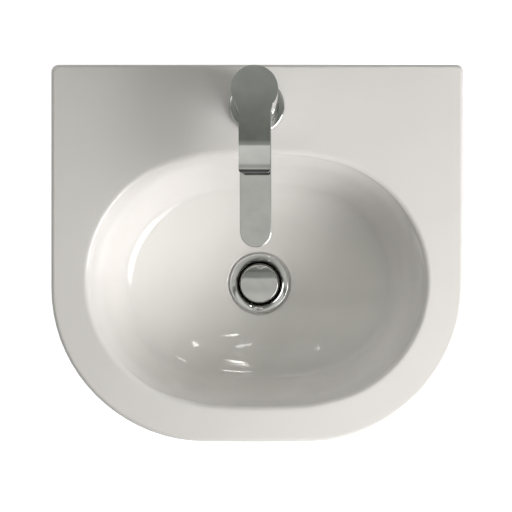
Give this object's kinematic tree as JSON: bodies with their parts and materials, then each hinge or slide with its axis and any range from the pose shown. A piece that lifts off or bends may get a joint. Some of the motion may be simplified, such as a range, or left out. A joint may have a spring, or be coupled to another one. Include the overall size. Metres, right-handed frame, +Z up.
{
  "type": "hand basin",
  "caption": "Wall-hung D-shaped ceramic hand basin with an oval bowl, a single-lever mixer tap on its deck and a push-operated waste.",
  "frame": {"origin": "midway between the two wall-fixing holes, on the back face of the ceramic", "axes": "+Y into the wall, +Z up, +X to the right for someone facing the basin"},
  "size_m": [0.4, 0.366, 0.315],
  "materials": {
    "glazed_ceramic": "gloss",
    "polished_chrome": "polished",
    "bright_brass": "satin",
    "black_rubber": "matte",
    "zinc_steel": "satin",
    "grey_plastic": "satin",
    "white_plastic": "satin",
    "alumina_disc": "satin"
  },
  "bodies": {
    "basin": {"basin": "glazed_ceramic", "tap_body": "polished_chrome", "base_ring": "polished_chrome", "base_gasket": "black_rubber", "fixing_stud": "zinc_steel", "fixing_gasket": "black_rubber", "fixing_plate": "zinc_steel", "fixing_nut": "bright_brass", "cartridge_base": "grey_plastic", "cartridge_seals": "black_rubber", "fixed_disc": "alumina_disc", "cartridge_housing": "white_plastic", "cartridge_nut": "bright_brass", "dome_cover": "polished_chrome", "aerator_housing": "polished_chrome", "aerator_insert": "white_plastic", "aerator_washer": "black_rubber", "waste_body": "polished_chrome", "waste_top_seal": "black_rubber", "waste_under_seal": "black_rubber", "waste_washer": "white_plastic", "waste_backnut": "bright_brass", "clicker_barrel": "bright_brass", "clicker_gland": "bright_brass", "clicker_spring": "zinc_steel"},
    "rotor": {"cartridge_rotor": "grey_plastic", "stem_pin": "zinc_steel"},
    "lever": {"lever": "polished_chrome", "lever_stem": "bright_brass", "grub_screw": "zinc_steel", "screw_plug": "grey_plastic"},
    "discs": {"moving_disc": "alumina_disc", "disc_carrier": "white_plastic"},
    "plug": {"plug_cap": "polished_chrome", "plug_seal": "black_rubber", "clicker_plunger": "bright_brass"}
  },
  "joints": [
    {"name": "lever_swivel", "type": "hinge", "parent": "basin", "child": "rotor", "pos_m": [0, -0.041, 0.152], "axis": [0, 0, 1], "range_deg": [-45, 45]},
    {"name": "lever_tilt", "type": "hinge", "parent": "rotor", "child": "lever", "pos_m": [0, -0.041, 0.152], "axis": [-1, 0, 0], "range_deg": [0, 25]},
    {"name": "disc_slide", "type": "slide", "parent": "rotor", "child": "discs", "axis": [0, -1, 0], "range_m": [0, 0.00486]},
    {"name": "plug_press", "type": "slide", "parent": "basin", "child": "plug", "axis": [0, 0, 1], "range_m": [-0.0092, 0], "stiffness_N_per_m": 400, "springref_m": 0.004, "deforming": ["clicker_spring"]}
  ],
  "couplings": [
    {"joint": "disc_slide", "follows": "lever_tilt", "m_per_rad": 0.010913}
  ]
}
